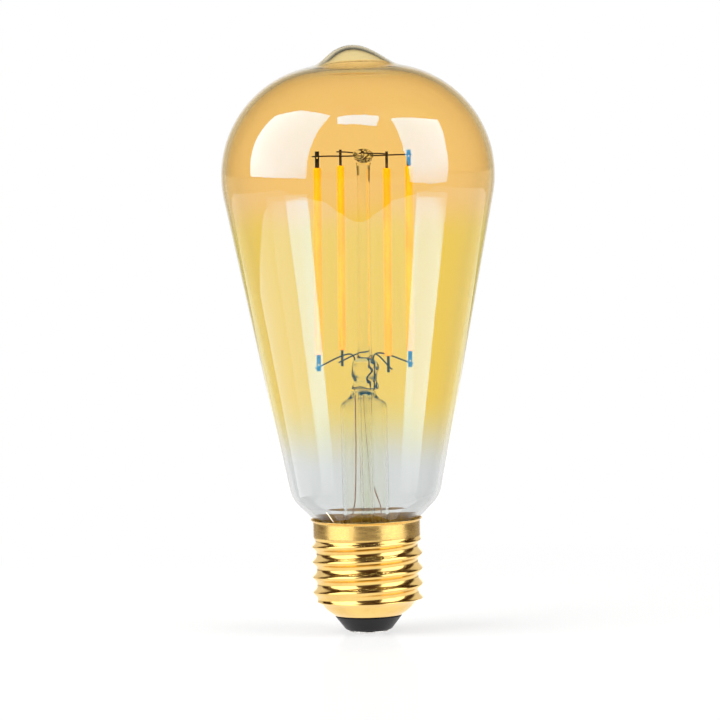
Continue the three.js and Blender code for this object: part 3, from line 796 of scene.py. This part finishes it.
def bottom_wire_path(index):
    """Up out of the press, over in a small arch, and straight out through a filament's tag."""
    exit_x, exit_y = (v * MM for v in PRESS_EXITS[index])
    weld = on_circle(index, 63.5 * MM, weld_side())
    end = on_circle(index, 63.25 * MM, weld_side(), 1.0 * MM)
    arch, reach = 66.1 * MM, 0.13
    over = (1 - reach) * np.array((exit_x, exit_y, arch)) + reach * weld
    over[2] = arch
    middle = 0.65 * over + 0.35 * weld
    middle[2] = arch - 0.55 * MM
    inside = [(exit_x, exit_y, z * MM) for z in (57.6, 61, 64.2, 65.2)]
    return leaned(smooth_path([*inside, over, middle, weld, end]))


# Points along the wires, in millimetres: (x, y, z) for the leads inside the stem, and (radius, z)
# for the wire to the cap's rim, which stays at one azimuth.
LEAD_PATHS = {
    "lead_wire_left": (
        (-1.95, 0.4, 56.3), (-2, 0.4, 50), (-2.1, 0.4, 43), (-2.6, 0.3, 31), (-3.6, 0.3, 27),
        (-3.6, 0.85, 19), (-3.6, 0.85, 13),
    ),
    "lead_wire_right": (
        (-0.3, 2.3, 55.5), (0.1, 2.5, 50), (0.9, 2.7, 43), (1.9, 2.6, 35), (3.7, 1.6, 28.5),
        (4, 0.85, 22), (4, 0.85, 13),
    ),
}
SIDE_WIRE_PATH = (
    (8.6, 13.6), (9.4, 15.1), (10.6, 15.35), (11.35, 16.3), (11.35, 20), (11.35, 24.2),
    (11.7, 25.8), (12.74, 26.95), (14.1, 28.25), (15.6, 29.75),
)


class LAMP_OT_filaments(bpy.types.Operator):
    """Make the four filaments' coats and finish their tags and strips"""

    bl_idname = "lamp.filaments"
    bl_label = "Filaments"

    def execute(self, context):
        coat, metal = phosphor(), tag_metal()
        ceramic = grained("filament_ceramic", (0.82, 0.8, 0.74), 0.55)
        for index, side in enumerate(SIDES):
            grid, node = coat_grid(index), f"filament_coat_{side}"
            make(f"phosphor_coat_{side}", grid, coat, node)
            finish_node(f"filament_strip_{side}", ceramic)
            finish_node(f"filament_top_tag_{side}", metal)
            finish_node(f"filament_bottom_tag_{side}", metal)
        return {"FINISHED"}


class LAMP_OT_wires(bpy.types.Operator):
    """Draw the support wires, the lead wires and the wires to the cap's contacts"""

    bl_idname = "lamp.wires"
    bl_label = "Wires"

    def execute(self, context):
        s, c = sizes(), colours()
        nickel = drawn_wire("nickel_wire", c.nickel)
        copper = drawn_wire("copper_wire", c.copper)
        tinned = drawn_wire("tinned_wire", (0.86, 0.78, 0.62), 0.22)
        for index, (name, height) in enumerate((("wide", 112.8), ("deep", 113.45))):
            grid = tube(top_wire_path(index, height * MM), s.wire_radius * 0.85)
            make(f"top_support_{name}", grid, nickel, f"top_wire_{name}")
        for index, side in enumerate(SIDES):
            across = sideways(filament_azimuth(index))
            grid = tube(bottom_wire_path(index), s.wire_radius * 0.9, across=across)
            make(f"bottom_support_{side}", grid, nickel, f"bottom_wire_{side}")
        for name, points in LEAD_PATHS.items():
            grid = tube(smooth_path(np.array(points) * MM), s.wire_radius * 0.75, across=(0, 1, 0))
            make(name.replace("wire", "conductor"), grid, copper, name)
        x, y = math.cos(s.side_azimuth), math.sin(s.side_azimuth)
        path = np.array([(r * x, r * y, z) for r, z in SIDE_WIRE_PATH]) * MM
        grid = tube(smooth_path(path), 0.13 * MM, across=sideways(s.side_azimuth))
        make("side_conductor", grid, tinned, "side_contact_wire")
        low, high, radius = foot_of("centre_contact_wire"), top_of("centre_contact_wire"), 0.2 * MM
        path = line((0, 0, low + radius), (0, 0, high - radius), 6)
        grid = tube(path, radius, across=(0, 1, 0))
        make("centre_conductor", grid, copper, "centre_contact_wire")
        return {"FINISHED"}


# ---- Screw cap ----


def bowl_curve():
    """The shell's foot: a smooth curve of (radius, height) that flares up into the thread."""
    points = (
        (8.0, 3.9), (8.35, 4.15), (9.6, 5.05), (10.45, 5.85),
        (11.15, 6.6), (11.9, 7.2), (12.9, 7.75), (14.5, 8.3),
    )
    flare = smooth_path(np.array(points) * MM, 8)
    return np.vstack((flare, (20 * MM, 9 * MM), (20 * MM, 40 * MM)))


def shell_radius(height, azimuth):
    """Outside radius of the rolled shell. A wave of one turn to a pitch climbs the wall, fades
    into the collar above and into a bowl below, and a small lip turns out at the top."""
    s = sizes()
    mean, swing = (s.thread_crest + s.thread_root) / 2, (s.thread_crest - s.thread_root) / 2
    phase = 2 * np.pi * (height - s.thread_phase) / s.thread_pitch - azimuth
    wave = np.cos(phase) + 0.12 * np.cos(2 * phase)
    fade = smooth_step(height, 21.4 * MM, 22.9 * MM)
    wall = (mean + swing * wave) * (1 - fade) + 12.65 * MM * fade
    bowl = np.interp(height, bowl_curve()[:, 1], bowl_curve()[:, 0])
    width = 0.22 * MM
    soft = np.maximum(width - np.abs(bowl - wall), 0)
    blended = np.minimum(bowl, wall) - soft**2 / (4 * width)
    lip = 0.62 * MM * smooth_step(height, 26.15 * MM, 26.9 * MM) ** 2
    return blended + lip


def shell_grid():
    """The brass sheet: its outside from the foot to the lip, a rolled edge, and its inside back."""
    low, high, wall = foot_of("screw_shell"), top_of("screw_shell"), sizes().cap_wall
    thread, collar = np.linspace(low, 24 * MM, 178), np.linspace(24.3 * MM, 26 * MM, 6)
    lip, bevel = np.linspace(26.1 * MM, high - 0.1 * MM, 12), 0.03 * MM
    rows = np.concatenate((thread, collar, lip))[:, None]
    azimuth = around(240)[None]
    outside = shell_radius(rows, azimuth)
    edge = np.array((high - bevel, high, high - bevel))[:, None]
    rim = outside[-1:] - np.array((bevel, wall / 2, wall - bevel))[:, None]
    radius = np.concatenate((outside, rim, outside[::-1] - wall, outside[:1]))
    height = np.concatenate((rows, edge, rows[::-1], rows[:1]))
    height = np.broadcast_to(height, radius.shape)
    return np.stack((radius * np.cos(azimuth), radius * np.sin(azimuth), height), axis=-1)


def insulator_outline():
    """A cone with a small round at its lower edge, a step up into the shell, and a wire's bore."""
    low, high = foot_of("cap_insulator"), top_of("cap_insulator")
    bore, round_at, edge = 1.3 * MM, 5.2 * MM, 0.25 * MM
    rim, plug, step = 7.88 * MM, 7.2 * MM, 3.8 * MM
    return joined(
        line((bore, low), (round_at, low), 4),
        arc((round_at, low + edge), edge, -math.pi / 2, -0.7, 6),
        line((5.55 * MM, low + 0.18 * MM), (rim, step - 0.08 * MM), 12),
        line((rim, step), (plug, step), 4),
        line((plug, step), (plug, high), 3),
        line((plug, high), (bore, high), 4),
        line((bore, high), (bore, low), 3),
    )


def contact_outline():
    """The centre contact: a flat plate with a rounded edge and a hole for the solder."""
    hole, flat, top, round_edge = 1.5 * MM, 4.3 * MM, 0.5 * MM, 0.28 * MM
    return joined(
        line((hole, 0), (flat, 0), 6),
        arc((4.6 * MM, round_edge), round_edge, -math.pi / 2, math.pi / 2, 10),
        line((flat, top), (hole, top), 4),
        line((hole, top), (hole, 0), 2),
    )


def solder_outline():
    """The solder that fills the contact's hole: flat below, with a rounded lower edge."""
    radius, top, round_edge = 1.28 * MM, 0.5 * MM, 0.2 * MM
    return joined(
        line((0, 0), (1.0 * MM, 0), 4),
        arc((1.05 * MM, round_edge), round_edge, -math.pi / 2, 0, 6),
        line((radius, 0.3 * MM), (radius, top), 2),
        line((radius, top), (0, top), 3),
    )


def cement_grid():
    """The cement ring: a rounded section swept nearly all the way round, lumpy on top, with its
    two ends drawn to a point at the notch for the side wire."""
    count, notch = 181, math.radians(5)
    turns = np.linspace(0, 2 * np.pi, count)
    azimuth = sizes().side_azimuth + notch + turns * (1 - notch / np.pi)
    section = superellipse(0.36 * MM, 1.12 * MM, 4, 24)
    taper = np.sqrt(np.clip(1 - np.abs(np.linspace(-1, 1, count)) ** 60, 0, 1))[:, None]
    radius = 11.68 * MM + section[None, :, 0] * taper
    ripple = 1 + 0.06 * np.sin(23 * turns) + 0.05 * np.sin(41 * turns + 1)
    height = 24.12 * MM + section[None, :, 1] * taper * ripple[:, None]
    c, n = np.cos(azimuth)[:, None], np.sin(azimuth)[:, None]
    return np.stack((radius * c, radius * n, height), axis=-1)


def paint_shade_inside(shell, finish):
    """Gives the faces of a round shell that look towards the axis a finish of their own, here a darker
    copy of the brass that paints the shade inside the shell. They are those where the level part of the
    normal points against the face's own place."""
    faces = shell.data.polygons
    middles, normals = np.empty(3 * len(faces)), np.empty(3 * len(faces))
    faces.foreach_get("center", middles)
    faces.foreach_get("normal", normals)
    outward = (middles.reshape(-1, 3)[:, :2] * normals.reshape(-1, 3)[:, :2]).sum(axis=1)
    shell.data.materials.append(finish)
    faces.foreach_set("material_index", (outward < 0).astype(np.int32))


class LAMP_OT_cap(bpy.types.Operator):
    """Roll the brass screw cap and make its insulator, contact, solder and cement"""

    bl_idname = "lamp.cap"
    bl_label = "Screw cap"

    def execute(self, context):
        nickelled = grained("nickelled_contact", (0.72, 0.72, 0.7), 0.28, 1.0, 1800, 0.85)
        tin = grained("solder", (0.68, 0.68, 0.7), 0.3, 1.0, 900, 0.8, 0.06)
        # The cement's own brown, made darker still to paint the shade in the gap between the glass neck
        # and the brass lip.
        cement = grained("cement", (0.16, 0.09, 0.015), 0.6, 0.0, 1300, 0.55, 0.2)
        shell = make("brass_shell", shell_grid(), brass(), "screw_shell")
        # The shell's inside gets a darker brown copy of the brass: painted shade, since the glass casts no
        # shadow and lets in light that the real cap's inside never gets.
        paint_shade_inside(shell, grained("brass_inside_painted_shade", (0.4, 0.2, 0.01), 0.4, 0.9, 700, 0.45))
        skirt = turned(insulator_outline(), 128)
        insulator = make("insulator", skirt, moulding(), "cap_insulator")
        insulator.data.set_sharp_from_angle(angle=math.radians(35))
        plate = turned(contact_outline(), 96)
        make("centre_contact", plate, nickelled, "contact_plate")
        make("solder_spot", turned(solder_outline(), 32), tin, "contact_solder")
        make("cement_ring", cement_grid(), cement, "cap_cement")
        return {"FINISHED"}


# ---- Driver ----


def finish_node(node, finish):
    """Gives a carried-over CAD node its finish."""
    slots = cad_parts[node].data.materials
    slots.clear()
    slots.append(finish)


class LAMP_OT_driver(bpy.types.Operator):
    """Finish the driver board, the radio board and what is soldered to them"""

    bl_idname = "lamp.driver"
    bl_label = "Driver"

    def execute(self, context):
        epoxy = grained("black_epoxy", (0.03, 0.03, 0.032), 0.6, 0.0, 5000, 0.7)
        finishes = {
            "driver_board": circuit_board("green_board", (0.02, 0.13, 0.05)),
            "radio_board": circuit_board("blue_board", (0.01, 0.05, 0.18)),
            "bridge_rectifier": epoxy,
            "led_driver_chip": epoxy,
            "module_header": epoxy,
            "radio_chip": epoxy,
            "radio_crystal": grained("crystal_can", (0.7, 0.7, 0.7), 0.3, 1.0, 3000, 0.9),
            "smoothing_capacitor": grained("capacitor_sleeve", (0.03, 0.035, 0.05), 0.3, 0.0, 700, 0.8),
            "capacitor_bung": grained("black_rubber", (0.02, 0.02, 0.02), 0.8, 0.0, 3000, 0.7),
            "choke_core": grained("ferrite", (0.06, 0.06, 0.065), 0.65, 0.0, 6000, 0.7),
            "choke_winding": winding(),
            "fuse_resistor": grained("beige_lacquer", (0.6, 0.46, 0.28), 0.4, 0.0, 1500, 0.85),
            "insulating_sleeve": grained("amber_film", (0.55, 0.28, 0.05), 0.25, 0.0, 300, 0.85),
        }
        for node, finish in finishes.items():
            finish_node(node, finish)
        return {"FINISHED"}


# ---- Stage ----


def direction(azimuth, elevation):
    """Unit vector from the lamp. Azimuth 0 is towards the camera side, -Y, and 90 is +X."""
    a, e = math.radians(azimuth), math.radians(elevation)
    return np.array((math.sin(a) * math.cos(e), -math.cos(a) * math.cos(e), math.sin(e)))


def from_lamp(azimuth, elevation, distance=0.8):
    """A point at a direction and distance from the lamp's middle."""
    return np.array((0, 0, 0.1)) + distance * direction(azimuth, elevation)


def card(name, points, receivers, finish, lights_up=False):
    """A flat glowing card that the camera doesn't see, for what mirrors it. Of the pieces, only
    those in the receivers' collection see it. It may light them up as well."""
    mesh = bpy.data.meshes.new(name)
    mesh.from_pydata([list(p) for p in points], [], [tuple(range(len(points)))])
    mesh.materials.append(finish)
    made = bpy.data.objects.new(name, mesh)
    bpy.context.scene.collection.objects.link(made)
    made.visible_camera = False
    made.visible_shadow = False
    made.visible_transmission = False
    made.visible_diffuse = lights_up
    made.light_linking.receiver_collection = receivers


def gathered(name, pieces):
    """A collection of pieces that share the same lights."""
    group = bpy.data.collections.new(name)
    for piece in pieces:
        group.objects.link(piece)
    return group


def sort_pieces():
    """Two sets of pieces that see different cards: the cap, and all the rest. The brass mirrors
    far more of what it sees than the glass does, so its cards are dimmer."""
    on_cap = ("brass_shell", "insulator", "centre_contact", "solder_spot")
    pieces = [o for o in bpy.context.scene.objects if o.type == "MESH"]
    cap = gathered("seen_by_cap", [o for o in pieces if o.name in on_cap])
    return gathered("seen_by_glass", [o for o in pieces if o.name not in on_cap]), cap


def softboxes(glass, cap):
    """Two large softboxes beside the camera and a strip light over it, each a flat polygon whose
    corners are directions from the lamp. Both softboxes fade away from their lamp. The cap has
    two plain ones of its own, and a pale wall behind it."""
    left = ((-108, 42), (-86, 58), (-40, 63), (-43, 33), (-43, 0), (-69, 1), (-100, 1), (-106, 24))
    right = ((46, 57), (80, 48), (97, 40), (84, 21), (78, -6), (62, -7), (43, -5), (41, 26))
    strip = ((-28, 63), (34, 62), (23, 51.5), (-24, 54.5))
    left_cap = ((-27, -11), (-27, 50), (-92, 50), (-92, -11))
    right_cap = ((31, -11), (31, 50), (88, 50), (88, -11))
    wall = ((126, -8), (126, 45), (-126, 45), (-126, -8))
    for name, corners, receivers, strength, lights_up in (
        ("softbox_left", left, glass, (12.5, from_lamp(-76, 35), 0.75, 0.5), True),
        ("softbox_right", right, glass, (12.5, from_lamp(56, 38), 0.7, 0.5), True),
        ("strip_light", strip, glass, (14.0,), False),
        ("softbox_left_cap", left_cap, cap, (2.3,), True),
        ("softbox_right_cap", right_cap, cap, (2.3,), True),
        ("wall_cap", wall, cap, (0.8,), False),
    ):
        card(name, [from_lamp(*c) for c in corners], receivers, glow(name, *strength), lights_up)


def on_table(azimuth, distance, drop=0.0004):
    """A point of the table top, a drop under the floor, at a direction and distance from the lamp."""
    return distance * direction(azimuth, 0) - np.array((0, 0, drop))


def sector(start, end, near, far):
    """A flat patch of the table between two azimuths and two distances."""
    turns = np.linspace(start, end, 9)
    return [on_table(a, far) for a in turns] + [on_table(a, near) for a in turns[::-1]]


def slab(half_front, half_back, back, drop):
    """A flat piece of the table top, from its front edge to a line behind, at a drop below it."""
    front = -0.245
    corners = (-half_front, front), (half_front, front), (half_back, back), (-half_back, back)
    return [(x, y, -drop) for x, y in corners]


def table(glass, cap):
    """The table that the glass and the brass mirror: brighter before the lamp, brightest where
    the softboxes shine on it, and with its front edge a hand's breadth before the lamp."""
    near, far, bright, reach, edge = 0.085, 0.42, 0.22, 0.14, 0.2
    for name, points, receivers, strength in (
        ("table", slab(0.6, 0.6, 0.5, 0.001), glass, (0.75,)),
        ("table_front", slab(0.3, 0.05, 0, 0.0007), glass, (1.8,)),
        ("patch_left", sector(-64, -43, near, far), glass, (10.0, on_table(-53, bright), reach, edge)),
        ("patch_left_side", sector(-84, -64, near, far), glass, (3.5, on_table(-74, bright), reach, edge)),
        ("patch_left_far", sector(-118, -84, near, 0.34), glass, (2.5,)),
        ("patch_right", sector(49, 80, near, far), glass, (9.0, on_table(64, bright), reach, edge)),
        ("table_cap", slab(0.22, 0.22, 0.25, 0.0013), cap, (1.05, (0, 0, 0), reach, 0.35)),
    ):
        card(name, points, receivers, glow(name, *strength))


def studio_floor(value):
    """A wide pale floor. Near the lamp it takes soft shadows and a faint mirror image, and
    further off it glows as evenly as the backdrop."""
    made, tree = bare_material("studio_floor")
    dull = tree.node("BsdfDiffuse", {"Color": (*(0.12 * v for v in value), 1)}).outputs[0]
    even = tree.node("Emission", {"Strength": 0.66}).outputs[0]
    mirror = tree.node("BsdfGlossy", {"Roughness": 0.12}).outputs[0]
    near = tree.blend(tree.blend(dull, even), mirror, 0.1)
    away = tree.node("VectorMath", {0: tree.coordinates()}, operation="LENGTH").outputs["Value"]
    fade = tree.node("MapRange", {"Value": away, "From Min": 0.06, "From Max": 0.2}).outputs[0]
    far = tree.node("Emission", {"Strength": 1.0}).outputs[0]
    tree.node("OutputMaterial", {"Surface": tree.blend(near, far, fade)})
    count, radius, drop = 64, 6.0, 0.00001
    rim = radius * np.column_stack((np.cos(around(count)), np.sin(around(count)), np.full(count, -drop)))
    mesh = bpy.data.meshes.new("studio_floor")
    mesh.from_pydata(rim.tolist(), [], [tuple(range(count))])
    mesh.materials.append(made)
    piece = bpy.data.objects.new("studio_floor", mesh)
    bpy.context.scene.collection.objects.link(piece)
    piece.visible_glossy = False


def studio_world():
    """White all round. What shines through the glass is dimmer from overhead and from everywhere
    but behind the lamp. Mirrored rays see a dark warm room with a white wall behind the lamp."""
    world = bpy.data.worlds.new("studio")
    bpy.context.scene.world = world
    world.use_nodes = True
    tree = Nodes(world.node_tree)
    split = tree.node("SeparateXYZ", {0: tree.coordinates("Generated")}).outputs
    rays = tree.node("LightPath").outputs
    overhead = tree.range(split["Z"], 0.15, 0.5, 1.0, 0.5)
    behind = tree.range(split["Y"], 0.72, 0.97, 0.15, 1.0)
    through = rays["Is Transmission Ray"]
    shade = tree.math("MULTIPLY", overhead, behind)
    strength = tree.node("Mix", {0: through, 2: 1.0, 3: shade}).outputs[0]
    wall = tree.range(split["Y"], 0.9, 0.995)
    room = tree.mix(wall, (0.05, 0.02, 0.002), (1, 1, 1))
    mirrored = tree.math("SUBTRACT", rays["Is Glossy Ray"], through)
    background = tree.tree.nodes["Background"]
    tree.feed(background.inputs["Color"], tree.mix(mirrored, (1, 1, 1), room))
    tree.feed(background.inputs["Strength"], strength)


def studio_camera():
    """A long lens a little above the lamp's middle, rolled by a degree or so."""
    distance, span, sensor, elevation, roll = 1.2, 0.1702, 36, 4.0, 1.4
    data = bpy.data.cameras.new("camera")
    data.sensor_width = sensor
    data.lens = sensor * distance / span
    data.clip_start = 0.01
    camera = bpy.data.objects.new("camera", data)
    bpy.context.scene.collection.objects.link(camera)
    camera.location = np.array((-0.0006, 0, 0.0645)) + distance * direction(0, elevation)
    tilt = Quaternion((1, 0, 0), math.radians(90 - elevation))
    camera.rotation_mode = "QUATERNION"
    camera.rotation_quaternion = tilt @ Quaternion((0, 0, 1), math.radians(-roll))
    bpy.context.scene.camera = camera


class LAMP_OT_stage(bpy.types.Operator):
    """Lay the floor, hang the softboxes and cards, and set the camera"""

    bl_idname = "lamp.stage"
    bl_label = "Stage"

    def execute(self, context):
        scene = context.scene
        scene.view_settings.view_transform = "Standard"
        scene.cycles.max_bounces = scene.cycles.transmission_bounces = 24
        studio_floor(colours().floor)
        studio_world()
        sets = sort_pieces()
        softboxes(*sets)
        table(*sets)
        studio_camera()
        return {"FINISHED"}


# ---- Add-on ----


class LAMP_PT_panel(bpy.types.Panel):
    """Lists the lamp's groups of pieces, its sizes and its colours"""

    bl_idname = "LAMP_PT_panel"
    bl_label = "Filament lamp"
    bl_space_type = "VIEW_3D"
    bl_region_type = "UI"
    bl_category = "Lamp"

    def draw(self, context):
        for step in STEPS:
            self.layout.operator(step.bl_idname)
        for group in (context.scene.lamp_sizes, context.scene.lamp_colours):
            box = self.layout.box()
            for name in group.bl_rna.properties.keys()[2:]:
                box.prop(group, name)


STEPS = (
    LAMP_OT_envelope,
    LAMP_OT_stem,
    LAMP_OT_filaments,
    LAMP_OT_wires,
    LAMP_OT_cap,
    LAMP_OT_driver,
    LAMP_OT_stage,
)
CLASSES = (LampSizes, LampColours, *STEPS, LAMP_PT_panel)


def register():
    for cls in CLASSES:
        bpy.utils.register_class(cls)
    bpy.types.Scene.lamp_sizes = bpy.props.PointerProperty(type=LampSizes)
    bpy.types.Scene.lamp_colours = bpy.props.PointerProperty(type=LampColours)


def unregister():
    del bpy.types.Scene.lamp_colours
    del bpy.types.Scene.lamp_sizes
    for cls in reversed(CLASSES):
        bpy.utils.unregister_class(cls)


def main():
    """Makes every piece in order."""
    register()
    for step in STEPS:
        group, name = step.bl_idname.split(".")
        getattr(getattr(bpy.ops, group), name)()


if __name__ == "__main__":
    main()
